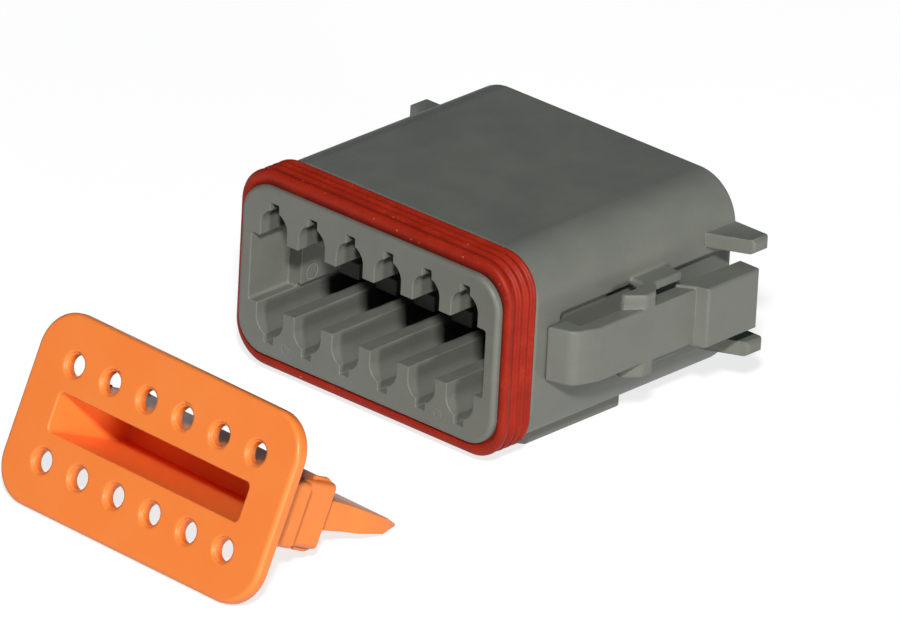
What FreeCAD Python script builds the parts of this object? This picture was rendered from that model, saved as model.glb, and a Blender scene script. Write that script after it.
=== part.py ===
"""Sealed automotive plug with two rows of contact cavities, its wedge lock taken out.

Frame: millimetres, origin at the centre of the plug's nose face.  +X runs along the
rows of cavities, +Y runs into the plug from its mating face to its wire side and +Z is
up.  The wedge lock lies in front of the plug, on the surface that the plug stands on.
"""
import FreeCAD, Part
import Sketcher
import math
import os

# name, value, what it is
SIZES = [
    # contact grid
    ("contact_pitch", 4.19, "cavity pitch along a row"),
    ("row_spacing", 8.13, "distance between the two rows"),
    ("cavities_per_row", 6, "cavities in each row"),
    ("cavity_width", 2.88, "width of a cavity, round at its outer end"),
    ("keyway_width", 0.95, "width of the contact keyway"),
    ("keyway_length", 2.095, "keyway's outer end from the cavity's axis"),
    ("tooth_length", 1.085, "tip of a tooth inside the cavity's axis"),
    # mouth
    ("end_block", 0.945, "mouth's side outside the last cavity"),
    ("slot_step", 1.42, "step in the mouth's side"),
    ("mouth_step_depth", 4.7, "nose face to that step"),
    ("slot_corner", 0.25, "mouth corner radius"),
    # plug nose and shell
    ("nose_side_wall", 1.22, "nose wall beside the mouth"),
    ("nose_top_wall", 1.26, "nose wall outside the keyways"),
    ("nose_corner", 2.8, "nose outline corner radius"),
    ("nose_edge", 0.25, "bevel on the nose's front edge"),
    ("nose_length", 3.98, "nose face to shell rim"),
    ("shell_side_step", 0.59, "shell outside the nose, sides"),
    ("shell_top_step", 1.09, "shell outside the nose, top and bottom"),
    ("shell_corner", 4.1, "shell outline corner radius"),
    ("shell_rear_edge", 0.4, "bevel on the shell's rear edge"),
    ("shell_rim_edge", 0.18, "bevel on the shell's front rim"),
    ("root_bite", 0.3, "how far an outside feature is rooted in the shell"),
    # locking fingers and contact wall
    ("finger_width", 2.3, "width of a locking finger"),
    ("finger_tip_gap", 0.5, "finger tip behind the wedge lock's shoulder"),
    ("finger_blade_gap", 0.17, "finger tip clear of the wedge lock's blade"),
    ("finger_root_inner", 0.95, "finger root's inner face from the mid plane"),
    ("finger_beam_thick", 1.0, "thickness of a finger's beam at its tip"),
    ("finger_nib_rise", 0.4, "nib above the beam"),
    ("finger_nib_length", 1.3, "length of the nib"),
    ("finger_ramp_length", 1.2, "length of the ramp behind the nib"),
    ("contact_wall", 1.9, "thickness of the wall with the contact bores"),
    ("contact_bore", 2.5, "diameter of a contact bore"),
    # wire side
    ("chamber_side_wall", 1.77, "shell wall beside the seal chamber"),
    ("chamber_top_wall", 1.41, "shell wall above the seal chamber"),
    ("chamber_corner", 2.6, "seal chamber corner radius"),
    ("chamber_depth", 7.4, "rear rim to the contact wall"),
    ("wire_seal_recess", 0.8, "wire seal's rear face inside the rear rim"),
    ("wire_seal_gap", 0.03, "clearance round the wire seal"),
    ("wire_seal_rib", 0.35, "height of the wire seal's ribs"),
    ("wire_seal_rib_width", 1.0, "width of a wire seal rib"),
    ("wire_seal_front_margin", 0.7, "wire seal's front face to its first rib"),
    ("wire_seal_rear_margin", 0.67, "wire seal's last rib to its rear face"),
    ("wire_seal_ribs", 3, "ribs on the wire seal"),
    ("wire_hole", 1.9, "diameter of a wire hole"),
    # keying rails under the shell
    ("rail_inset", 2.77, "rail's outer side inside the shell's side"),
    ("rail_width", 2.4, "width of a keying rail"),
    ("rail_rise", 0.99, "rail below the shell's underside"),
    ("rail_bite", 1.0, "how far a rail is rooted in the shell"),
    ("rail_setback", 0.32, "rail's lead-in behind the rim"),
    ("rail_length", 13.76, "length of a rail"),
    ("rail_lead", 2.6, "length of the rail's lead-in"),
    # guard ribs at the wire side
    ("rib_reach", 3.77, "tip of a right guard rib outside the shell"),
    ("rib_left_reach", 4.3, "tip of a left guard rib outside the shell"),
    ("rib_top_inset", 4.15, "upper rib's mid plane inside the shell's top"),
    ("rib_bottom_inset", 3.8, "lower rib's mid plane inside the shell's bottom"),
    ("rib_thick", 1.25, "thickness of a guard rib"),
    ("rib_setback", 0.45, "right rib's rear in front of the rear rim"),
    ("rib_left_setback", 1.3, "left rib's rear in front of the rear rim"),
    ("rib_tip_length", 1.75, "length of a rib at its tip"),
    ("rib_root_length", 3.6, "length of a rib at the shell"),
    ("rib_edge", 0.45, "round on a rib's tip"),
    # recess behind a latch
    ("recess_depth", 0.75, "depth of the recess behind a latch"),
    ("recess_margin", 0.02, "recess beyond the brackets' inner faces"),
    ("recess_setback", 1.8, "recess behind the hook's front edge"),
    # brackets that carry a latch
    ("bracket_inner", 2.98, "bracket's inner face from the mid plane"),
    ("bracket_thick", 0.69, "thickness of a bracket"),
    ("bracket_stand", 1.88, "outer side of a bracket's arm off the shell"),
    ("bracket_root_setback", 2.9, "root of a bracket behind the web's front"),
    ("bracket_length", 7.1, "length of a bracket"),
    ("bracket_neck", 1.24, "length of the neck behind the web"),
    ("bracket_gap", 0.05, "gap between a latch's web and a bracket"),
    # latch
    ("lever_stand", 3.14, "outer face of the lever off the shell"),
    ("lever_thick", 1.4, "thickness of the lever"),
    ("lever_side_gap", 0.57, "lever inside the brackets' inner faces"),
    ("web_distance", 7.1, "front of the web behind the hook's front edge"),
    ("web_length", 2.56, "length of the web"),
    ("web_thick", 1.61, "thickness of the web"),
    ("web_bevel", 1.47, "length of the web's oblique face"),
    ("web_bevel_depth", 1.18, "depth of the web's oblique face"),
    ("hook_clear", 0.08, "gap between the hook and the shell"),
    ("hook_setback", 1.32, "hook's front edge behind the shell rim"),
    ("hook_ramp", 0.8, "length of the hook's front ramp"),
    ("hook_nose_drop", 0.8, "end of that ramp inside the lever's face"),
    ("hook_slope", 2.3, "length of the slope up to the lever's face"),
    ("hook_length", 2.24, "length of the hook"),
    ("hook_round", 1.4, "round on the hook's nose"),
    ("pad_distance", 7.5, "step up to the thumb pad behind the web's front"),
    ("pad_step", 0.35, "length of that step"),
    ("pad_overlap", 1.0, "thumb pad's root in the lever"),
    ("pad_length", 6.15, "length of the thumb pad"),
    ("pad_rise", 1.14, "thumb pad above the lever's face"),
    ("pad_thick", 2.2, "thickness of the thumb pad"),
    ("pad_side_gap", 0.37, "thumb pad inside the recess"),
    ("pad_edge", 0.3, "round on the thumb pad"),
    # interface seal
    ("seal_front", 0.58, "front of the interface seal behind the nose face"),
    ("seal_gap", 0.02, "clearance between seal and nose"),
    ("seal_proud", 0.12, "seal's crests outside the shell"),
    ("seal_corner", 3.4, "interface seal outline corner radius"),
    ("seal_band", 0.85, "length of the seal's front band"),
    ("seal_groove", 0.3, "depth of the grooves between the seal's ribs"),
    ("seal_rib_width", 0.5, "length of one rib"),
    ("seal_rib_pitch", 0.83, "pitch of the ribs"),
    ("seal_ribs", 3, "ribs behind the band"),
    ("seal_edge", 0.15, "bevel on band and ribs"),
    # wedge lock
    ("plate_side_overhang", 0.77, "plate beyond the nose, sides"),
    ("plate_top_overhang", 0.62, "plate beyond the nose, top and bottom"),
    ("plate_corner", 3.5, "plate corner radius"),
    ("plate_thick", 1.1, "plate thickness"),
    ("plate_edge", 0.25, "bevel on the plate's front edge"),
    ("pin_hole", 1.78, "throat diameter of a pin hole"),
    ("pin_hole_funnel", 0.56, "lead-in of a pin hole"),
    ("tongue_side_gap", 0.42, "tongue base clear of the mouth's side"),
    ("tongue_shoulder_gap", 0.19, "tongue shoulder clear of the slot's side"),
    ("tongue_face_gap", 0.21, "tongue clear of the teeth"),
    ("tongue_step_gap", 0.1, "tongue base clear of the mouth's step"),
    ("shoulder_length", 4.2, "length of the tongue's shoulder"),
    ("tongue_corner", 0.45, "tongue corner radius"),
    ("ear_setback", 0.14, "ear in front of the shoulder's end"),
    ("ear_length", 2.09, "length of an ear"),
    ("ear_slope", 0.7, "length of an ear's slope"),
    ("ear_rise", 0.33, "ear above the tongue's face"),
    ("ear_width", 0.5, "width of an ear"),
    ("blade_inset", 0.9, "blade inside the shoulder's side"),
    ("blade_flare", 0.45, "widening of the blade at its flare"),
    ("blade_bevel", 1.05, "narrowing of the blade at its tip"),
    ("blade_start_thick", 2.76, "blade thickness at the shoulder"),
    ("blade_mid_thick", 2.26, "blade thickness at the flare"),
    ("blade_taper_thick", 1.34, "blade thickness where its tip tapers"),
    ("blade_tip_thick", 0.2, "blade thickness at its tip"),
    ("blade_neck", 3.5, "shoulder to the flare"),
    ("blade_flare_length", 1.27, "length of the flare"),
    ("blade_straight", 2.93, "flare to the tip's taper"),
    ("blade_taper", 2.3, "length of the tip's taper"),
    ("blade_tip_gap", 0.3, "blade's tip clear of the contact wall"),
    ("hollow_side_wall", 1.46, "tongue wall beside the hollow, at the plate"),
    ("hollow_face_wall", 1.09, "tongue wall above the hollow, at the plate"),
    ("hollow_end_side_wall", 0.95, "wall beside the hollow's end"),
    ("hollow_end_face_wall", 1.5, "wall above the hollow's end"),
    ("hollow_floor", 0.9, "hollow's end in front of the shoulder's end"),
    ("hollow_corner", 0.5, "hollow's corner radius"),
    # where the wedge lock lies
    ("wedge_x", 4.6, "middle of the plate's front face, X"),
    ("wedge_distance", 30.2, "middle of the plate's front face before the nose"),
    ("wedge_yaw", -3.2, "turn of the wedge lock about the vertical, degrees"),
]


class Size:
    """A length known as a number and as the spreadsheet formula it follows."""

    def __init__(self, value, text):
        self.value = float(value)
        self.text = text

    @staticmethod
    def of(other):
        """A size made of a size or a plain number."""
        if isinstance(other, Size):
            return other
        return Size(other, repr(float(other)))

    def __add__(self, other):
        other = Size.of(other)
        return Size(self.value + other.value, "(%s + %s)" % (self.text, other.text))

    def __sub__(self, other):
        other = Size.of(other)
        return Size(self.value - other.value, "(%s - %s)" % (self.text, other.text))

    def __mul__(self, other):
        other = Size.of(other)
        return Size(self.value * other.value, "(%s * %s)" % (self.text, other.text))

    def __truediv__(self, other):
        other = Size.of(other)
        return Size(self.value / other.value, "(%s / %s)" % (self.text, other.text))

    def __neg__(self):
        return Size(-self.value, "(-1 * %s)" % self.text)


class Sizes:
    """The driving sizes in one spreadsheet and the lengths derived from them in another."""

    def __init__(self, doc):
        self.doc = doc
        driving = doc.addObject("Spreadsheet::Sheet", "Sizes")
        for row, (alias, value, meaning) in enumerate(SIZES, start=1):
            driving.set("A%d" % row, meaning)
            driving.set("B%d" % row, str(value))
            driving.setAlias("B%d" % row, alias)
        doc.recompute()
        for alias, _, _ in SIZES:
            setattr(self, alias, Size(driving.get(alias), "Sizes." + alias))
        self.layout = doc.addObject("Spreadsheet::Sheet", "Layout")
        self.rows = 0

    def derive(self, alias, size):
        """Writes a derived length in the layout sheet and keeps it under its name."""
        self.rows += 1
        cell = "B%d" % self.rows
        self.layout.set("A%d" % self.rows, alias.replace("_", " "))
        self.layout.set(cell, "=" + size.text)
        self.layout.setAlias(cell, alias)
        setattr(self, alias, Size(size.value, "Layout." + alias))


def derive_layout(s):
    """Chains the derived lengths from the contact grid outwards and from the nose back."""
    spans = s.cavities_per_row - 1
    s.derive("first_cavity", -(s.contact_pitch * spans) / 2)
    s.derive("row_length", s.contact_pitch * spans)
    s.derive("row_height", s.row_spacing / 2)
    s.derive("keyway_reach", s.row_height + s.keyway_length)
    s.derive("slot_height", (s.row_height - s.tooth_length) * 2)
    s.derive("mouth_width", s.row_length + s.cavity_width + s.end_block * 2)
    s.derive("slot_width", s.mouth_width - s.slot_step * 2)
    s.derive("nose_width", s.mouth_width + s.nose_side_wall * 2)
    s.derive("nose_height", (s.keyway_reach + s.nose_top_wall) * 2)
    s.derive("shell_width", s.nose_width + s.shell_side_step * 2)
    s.derive("shell_height", s.nose_height + s.shell_top_step * 2)
    s.derive("shell_side", s.shell_width / 2)
    s.derive("side_root", s.shell_side - s.recess_depth - s.root_bite)
    # wedge lock, from its plate's front face to its tip
    s.derive("tongue_base", s.plate_thick + s.mouth_step_depth - s.tongue_step_gap)
    s.derive("tongue_shoulder", s.tongue_base + s.shoulder_length)
    s.derive("blade_flare_front", s.tongue_shoulder + s.blade_neck)
    s.derive("blade_flare_back", s.blade_flare_front + s.blade_flare_length)
    s.derive("blade_taper_front", s.blade_flare_back + s.blade_straight)
    s.derive("blade_tip", s.blade_taper_front + s.blade_taper)
    # plug, from its nose face back
    s.derive("mouth_depth", s.blade_tip - s.plate_thick + s.blade_tip_gap)
    s.derive("chamber_front", s.mouth_depth + s.contact_wall)
    s.derive("body_length", s.chamber_front + s.chamber_depth)
    s.derive("chamber_width", s.shell_width - s.chamber_side_wall * 2)
    s.derive("chamber_height", s.shell_height - s.chamber_top_wall * 2)
    # outside of the shell
    s.derive("rail_outer", s.shell_side - s.rail_inset)
    s.derive("rail_foot", s.shell_height / 2 + s.rail_rise)
    s.derive("rail_front", s.nose_length + s.rail_setback)
    s.derive("rib_top_level", s.shell_height / 2 - s.rib_top_inset)
    s.derive("rib_bottom_level", s.rib_bottom_inset - s.shell_height / 2)
    # latch, from its hook back
    s.derive("hook_front", s.nose_length + s.hook_setback)
    s.derive("web_front", s.hook_front + s.web_distance)
    s.derive("web_rear", s.web_front + s.web_length)
    s.derive("lever_outer", s.shell_side + s.lever_stand)
    s.derive("lever_inner", s.lever_outer - s.lever_thick)
    s.derive("web_lip", s.lever_outer - s.web_bevel_depth)
    s.derive("web_inner", s.lever_outer - s.web_thick)
    s.derive("pad_outer", s.lever_outer + s.pad_rise)
    s.derive("pad_inner", s.pad_outer - s.pad_thick)
    s.derive("pad_front", s.web_front + s.pad_distance)
    s.derive("pad_end", s.pad_front + s.pad_step + s.pad_length)
    s.derive("recess_height", (s.bracket_inner + s.recess_margin) * 2)
    s.derive("recess_front", s.hook_front + s.recess_setback)
    # seals
    s.derive("seal_width", s.shell_width + s.seal_proud * 2)
    s.derive("seal_height", s.shell_height + s.seal_proud * 2)
    s.derive("seal_rear", s.nose_length - s.seal_gap)
    # wedge lock sections
    s.derive("plate_width", s.nose_width + s.plate_side_overhang * 2)
    s.derive("plate_height", s.nose_height + s.plate_top_overhang * 2)
    s.derive("tongue_width", s.mouth_width - s.tongue_side_gap * 2)
    s.derive("shoulder_width", s.slot_width - s.tongue_shoulder_gap * 2)
    s.derive("tongue_height", s.slot_height - s.tongue_face_gap * 2)
    s.derive("blade_half", s.shoulder_width / 2 - s.blade_inset)
    s.derive("flare_half", s.blade_half + s.blade_flare)
    s.derive("tip_half", s.flare_half - s.blade_bevel)


class Piece:
    """One sub-part: a body whose sketches and features follow the spreadsheets."""

    def __init__(self, doc, label):
        self.doc = doc
        self.body = doc.addObject("PartDesign::Body", label)
        self.body.Label = label
        self.count = 0
        doc.recompute()

    def origin(self, role):
        """The body's own origin plane or axis with that role."""
        for feature in self.body.Origin.OriginFeatures:
            if feature.Role == role:
                return feature
        raise ValueError(role)

    def sketch(self, name, role, level):
        """A sketch on one of the body's planes, moved to a level along X, Y or Z."""
        item = self.body.newObject("Sketcher::SketchObject", self.body.Label + "_" + name)
        item.AttachmentSupport = (self.origin(role), [""])
        item.MapMode = "FlatFace"
        level = Size.of(level)
        if role == "XZ_Plane":
            level = -level
        item.AttachmentOffset = FreeCAD.Placement(FreeCAD.Vector(0, 0, level.value), FreeCAD.Rotation())
        item.setExpression("AttachmentOffset.Base.z", level.text)
        return item

    def feature(self, kind, name):
        """A new feature at the end of the body."""
        return self.body.newObject("PartDesign::" + kind, self.body.Label + "_" + name)

    def pad(self, name, sketch, length, backwards=False, both=False):
        """Extrudes a sketch along its normal, against it, or half each way."""
        item = self.feature("Pad", name)
        item.Profile = (sketch, [""])
        item.Length = Size.of(length).value
        item.setExpression("Length", Size.of(length).text)
        item.Reversed = backwards
        item.Midplane = both
        self.doc.recompute()
        return item

    def pocket(self, name, sketch, length, forwards=False, both=False):
        """Cuts a sketch against its normal, along it, or half each way."""
        before = self.body.Shape.Volume
        item = self.feature("Pocket", name)
        item.Profile = (sketch, [""])
        item.Length = Size.of(length).value
        item.setExpression("Length", Size.of(length).text)
        item.Reversed = forwards
        item.Midplane = both
        self.doc.recompute()
        if not self.body.Shape.Volume < before - 1e-6:
            raise RuntimeError("%s cuts nothing" % item.Name)
        return item

    def row(self, name, originals, role, length, count):
        """Repeats features along one of the body's axes."""
        item = self.feature("LinearPattern", name)
        item.Originals = originals
        item.Direction = (self.origin(role), [""])
        item.setExpression("Length", Size.of(length).text)
        item.setExpression("Occurrences", Size.of(count).text)
        self.body.Tip = item
        self.doc.recompute()
        return item

    def mirror(self, name, originals, role):
        """Mirrors features across one of the body's planes."""
        item = self.feature("Mirrored", name)
        item.Originals = originals
        item.MirrorPlane = (self.origin(role), [""])
        self.body.Tip = item
        self.doc.recompute()
        return item

    def edges(self, test):
        """Names of the edges of the body's shape whose points all pass a test."""
        names = []
        for number, edge in enumerate(self.body.Shape.Edges, start=1):
            span = edge.LastParameter - edge.FirstParameter
            points = [edge.valueAt(edge.FirstParameter + span * share) for share in (0.0, 0.37, 1.0)]
            if all(test(point) for point in points):
                names.append("Edge%d" % number)
        if not names:
            raise RuntimeError("no edge passes in " + self.body.Label)
        return names

    def fillet(self, name, test, radius):
        """Rounds every edge whose points pass a test."""
        base = self.body.Tip
        names = self.edges(test)
        item = self.feature("Fillet", name)
        item.Base = (base, names)
        item.Radius = radius.value
        item.setExpression("Radius", radius.text)
        self.doc.recompute()
        return item

    def chamfer(self, name, test, size):
        """Bevels every edge whose points pass a test."""
        base = self.body.Tip
        names = self.edges(test)
        item = self.feature("Chamfer", name)
        item.Base = (base, names)
        item.Size = size.value
        item.setExpression("Size", size.text)
        self.doc.recompute()
        return item


def bind(sketch, kind, args, size):
    """Adds a dimension to a sketch and ties it to its formula."""
    index = sketch.addConstraint(Sketcher.Constraint(kind, *args, size.value))
    sketch.setExpression("Constraints[%d]" % index, size.text)


def place_point(sketch, geometry, end, x, y):
    """Fixes a point of a sketch by its distances from the sketch's origin."""
    for kind, axis, size in (("DistanceX", -2, Size.of(x)), ("DistanceY", -1, Size.of(y))):
        if size.text == "0.0":
            sketch.addConstraint(Sketcher.Constraint("PointOnObject", geometry, end, axis))
        else:
            bind(sketch, kind, (-1, 1, geometry, end), size)


def polygon(sketch, points):
    """Adds a closed outline through the points, each fixed from the origin."""
    first = sketch.GeometryCount
    count = len(points)
    points = [(Size.of(x), Size.of(y)) for x, y in points]
    corners = [FreeCAD.Vector(x.value, y.value, 0) for x, y in points]
    for index in range(count):
        sketch.addGeometry(Part.LineSegment(corners[index], corners[(index + 1) % count]), False)
    for index in range(count):
        following = first + (index + 1) % count
        sketch.addConstraint(Sketcher.Constraint("Coincident", first + index, 2, following, 1))
    for index, (x, y) in enumerate(points):
        place_point(sketch, first + index, 1, x, y)


def rounded_rectangle(sketch, width, height, radius):
    """Adds a rectangle with round corners, centred on the sketch's origin."""
    first = sketch.GeometryCount
    w, h, r = width.value / 2, height.value / 2, radius.value
    vector = FreeCAD.Vector
    sides = [
        (vector(-w + r, -h, 0), vector(w - r, -h, 0)),
        (vector(w, -h + r, 0), vector(w, h - r, 0)),
        (vector(w - r, h, 0), vector(-w + r, h, 0)),
        (vector(-w, h - r, 0), vector(-w, -h + r, 0)),
    ]
    centres = [(w - r, -h + r), (w - r, h - r), (-w + r, h - r), (-w + r, -h + r)]
    for start, end in sides:
        sketch.addGeometry(Part.LineSegment(start, end), False)
    for quarter, (x, y) in enumerate(centres):
        circle = Part.Circle(vector(x, y, 0), vector(0, 0, 1), r)
        turn = (quarter - 1) * math.pi / 2
        sketch.addGeometry(Part.ArcOfCircle(circle, turn, turn + math.pi / 2), False)
    for index in range(4):
        arc = first + 4 + index
        sketch.addConstraint(Sketcher.Constraint("Tangent", first + index, 2, arc, 1))
        sketch.addConstraint(Sketcher.Constraint("Tangent", arc, 2, first + (index + 1) % 4, 1))
    for index in (0, 2):
        sketch.addConstraint(Sketcher.Constraint("Horizontal", first + index))
    for index in (1, 3):
        sketch.addConstraint(Sketcher.Constraint("Vertical", first + index))
    for index in (5, 6, 7):
        sketch.addConstraint(Sketcher.Constraint("Equal", first + 4, first + index))
    sketch.addConstraint(Sketcher.Constraint("Symmetric", first + 7, 3, first + 5, 3, -1, 1))
    bind(sketch, "Radius", (first + 4,), radius)
    bind(sketch, "DistanceX", (first + 3, 1, first + 1, 2), width)
    bind(sketch, "DistanceY", (first + 0, 2, first + 2, 1), height)


def circle(sketch, x, y, diameter):
    """Adds a circle fixed from the sketch's origin."""
    x, y = Size.of(x), Size.of(y)
    centre = FreeCAD.Vector(x.value, y.value, 0)
    index = sketch.addGeometry(Part.Circle(centre, FreeCAD.Vector(0, 0, 1), diameter.value / 2), False)
    place_point(sketch, index, 3, x, y)
    bind(sketch, "Diameter", (index,), diameter)


def cavity_outline(sketch, x, base, level, width, side):
    """Adds a cavity's outline: straight from its base and round about its axis.

    side is 1 for the upper row and -1 for the lower one.
    """
    first = sketch.GeometryCount
    vector = FreeCAD.Vector
    r = width.value / 2
    left, right = x.value - r, x.value + r
    bottom, axis = base.value * side, level.value * side
    sketch.addGeometry(Part.LineSegment(vector(left, bottom, 0), vector(right, bottom, 0)), False)
    sketch.addGeometry(Part.LineSegment(vector(right, bottom, 0), vector(right, axis, 0)), False)
    ring = Part.Circle(vector(x.value, axis, 0), vector(0, 0, 1), r)
    span = (0.0, math.pi) if side > 0 else (math.pi, 2 * math.pi)
    sketch.addGeometry(Part.ArcOfCircle(ring, *span), False)
    sketch.addGeometry(Part.LineSegment(vector(left, axis, 0), vector(left, bottom, 0)), False)
    start, end = (1, 2) if side > 0 else (2, 1)
    sketch.addConstraint(Sketcher.Constraint("Coincident", first, 2, first + 1, 1))
    sketch.addConstraint(Sketcher.Constraint("Coincident", first + 3, 2, first, 1))
    sketch.addConstraint(Sketcher.Constraint("Tangent", first + 1, 2, first + 2, start))
    sketch.addConstraint(Sketcher.Constraint("Tangent", first + 2, end, first + 3, 1))
    sketch.addConstraint(Sketcher.Constraint("Horizontal", first))
    sketch.addConstraint(Sketcher.Constraint("Vertical", first + 1))
    place_point(sketch, first + 2, 3, x, level * side)
    bind(sketch, "Radius", (first + 2,), width / 2)
    bind(sketch, "DistanceY", (-1, 1, first, 1), base * side)


def on_level(axis, level):
    """A test for points that lie on a plane across one of the axes."""
    return lambda point: abs(getattr(point, axis) - level) < 1e-4


def build_housing(doc, s):
    """The plug housing: nose, shell, mouth with teeth, fingers, chamber, rails and ribs."""
    piece = Piece(doc, "plug_housing")

    outline = piece.sketch("nose_outline", "XZ_Plane", 0)
    rounded_rectangle(outline, s.nose_width, s.nose_height, s.nose_corner)
    piece.pad("nose", outline, s.nose_length + s.root_bite, backwards=True)
    piece.chamfer("nose_edge", on_level("y", 0.0), s.nose_edge)

    outline = piece.sketch("shell_outline", "XZ_Plane", s.nose_length)
    rounded_rectangle(outline, s.shell_width, s.shell_height, s.shell_corner)
    piece.pad("shell", outline, s.body_length - s.nose_length, backwards=True)
    piece.chamfer("shell_rear_edge", on_level("y", s.body_length.value), s.shell_rear_edge)
    piece.chamfer("shell_rim_edge", lambda p: abs(p.y - s.nose_length.value) < 1e-4
                  and on_outline(p, s.shell_width, s.shell_height, s.shell_corner), s.shell_rim_edge)

    # recess that gives each latch room to rock
    recesses = []
    for name, side in (("right", 1), ("left", -1)):
        outline = piece.sketch("recess_outline_" + name, "YZ_Plane", s.shell_side * side)
        half = s.recess_height / 2
        back = s.body_length + s.root_bite
        polygon(outline, [(s.recess_front, -half), (back, -half), (back, half), (s.recess_front, half)])
        recesses.append(piece.pocket("recess_" + name, outline, s.recess_depth, forwards=side < 0))

    # keying rail, with its lead-in behind the rim
    outline = piece.sketch("rail_outline", "YZ_Plane", s.rail_outer - s.rail_width)
    root = -(s.shell_height / 2 - s.rail_bite)
    polygon(outline, [
        (s.rail_front, root),
        (s.rail_front, -(s.shell_height / 2)),
        (s.rail_front + s.rail_lead, -s.rail_foot),
        (s.rail_front + s.rail_length, -s.rail_foot),
        (s.rail_front + s.rail_length, root),
    ])
    rail = piece.pad("rail", outline, s.rail_width)

    # guard ribs beside the thumb pads
    tips = []
    for name, side, reach, setback in (("right", 1, s.rib_reach, s.rib_setback),
                                       ("left", -1, s.rib_left_reach, s.rib_left_setback)):
        rear = s.body_length - setback
        tip = s.shell_side + reach
        for row, level in (("top", s.rib_top_level), ("bottom", s.rib_bottom_level)):
            outline = piece.sketch("rib_outline_%s_%s" % (row, name), "XY_Plane", level)
            polygon(outline, [(x * side, y) for x, y in [
                (s.side_root, rear - s.rib_root_length),
                (s.shell_side, rear - s.rib_root_length),
                (tip, rear - s.rib_tip_length),
                (tip, rear),
                (s.side_root, rear),
            ]])
            piece.pad("rib_%s_%s" % (row, name), outline, s.rib_thick, both=True)
        tips.append((tip * side).value)
    piece.fillet("rib_tips", lambda p: min(abs(p.x - tip) for tip in tips) < 1e-4, s.rib_edge)

    # brackets above and below each latch
    brackets = []
    for name, level in (("top", s.bracket_inner), ("bottom", -(s.bracket_inner + s.bracket_thick))):
        outline = piece.sketch("bracket_outline_" + name, "XY_Plane", level)
        arm = s.shell_side + s.bracket_stand
        polygon(outline, [
            (s.web_inner, s.web_front),
            (s.web_lip, s.web_front),
            (s.lever_outer, s.web_front + s.web_bevel),
            (s.lever_outer, s.web_rear),
            (arm, s.web_rear + s.bracket_neck),
            (arm, s.web_front + s.bracket_length),
            (s.side_root, s.web_front + s.bracket_length),
            (s.side_root, s.web_front + s.bracket_root_setback),
            (s.web_inner, s.web_front + s.bracket_root_setback),
        ])
        brackets.append(piece.pad("bracket_" + name, outline, s.bracket_thick))
    piece.mirror("left_side", [rail] + brackets, "YZ_Plane")

    # mouth: front zone, slot, cavities with their keyways
    outline = piece.sketch("mouth_outline", "XZ_Plane", 0)
    rounded_rectangle(outline, s.mouth_width, s.slot_height, s.slot_corner)
    piece.pocket("mouth_front", outline, s.mouth_step_depth)
    outline = piece.sketch("slot_outline", "XZ_Plane", 0)
    rounded_rectangle(outline, s.slot_width, s.slot_height, s.slot_corner)
    piece.pocket("mouth_slot", outline, s.mouth_depth)

    outline = piece.sketch("cavity_outline", "XZ_Plane", 0)
    base = s.slot_height / 2 - s.root_bite
    cavity_outline(outline, s.first_cavity, base, s.row_height, s.cavity_width, 1)
    cavity_outline(outline, s.first_cavity, base, s.row_height, s.cavity_width, -1)
    cavity = piece.pocket("cavity", outline, s.mouth_depth)
    outline = piece.sketch("keyway_outline", "XZ_Plane", 0)
    left = s.first_cavity - s.keyway_width / 2
    right = s.first_cavity + s.keyway_width / 2
    for side in (1, -1):
        polygon(outline, [
            (left, s.row_height * side),
            (right, s.row_height * side),
            (right, s.keyway_reach * side),
            (left, s.keyway_reach * side),
        ])
    keyway = piece.pocket("keyway", outline, s.mouth_depth)
    piece.row("cavities", [cavity, keyway], "X_Axis", s.row_length, s.cavities_per_row)

    # seal chamber and the contact bores that lead into it
    outline = piece.sketch("chamber_outline", "XZ_Plane", s.body_length)
    rounded_rectangle(outline, s.chamber_width, s.chamber_height, s.chamber_corner)
    piece.pocket("chamber", outline, s.chamber_depth, forwards=True)
    outline = piece.sketch("bore_outline", "XZ_Plane", s.mouth_depth)
    circle(outline, s.first_cavity, s.row_height, s.contact_bore)
    circle(outline, s.first_cavity, -s.row_height, s.contact_bore)
    bore = piece.pocket("contact_bore", outline, s.contact_wall)
    piece.row("contact_bores", [bore], "X_Axis", s.row_length, s.cavities_per_row)

    # locking fingers, rooted in the contact wall and reaching forward
    outline = piece.sketch("finger_outline", "YZ_Plane", s.first_cavity - s.finger_width / 2)
    front = s.tongue_shoulder - s.plate_thick + s.finger_tip_gap
    inner = s.blade_start_thick / 2 + s.finger_blade_gap
    beam = inner + s.finger_beam_thick
    nib = beam + s.finger_nib_rise
    root = s.mouth_depth + s.root_bite
    for side in (1, -1):
        polygon(outline, [
            (front, inner * side),
            (front, nib * side),
            (front + s.finger_nib_length, nib * side),
            (front + s.finger_nib_length + s.finger_ramp_length, beam * side),
            (root, beam * side),
            (root, s.finger_root_inner * side),
        ])
    finger = piece.pad("finger", outline, s.finger_width)
    piece.row("fingers", [finger], "X_Axis", s.row_length, s.cavities_per_row)
    return piece.body


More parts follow.
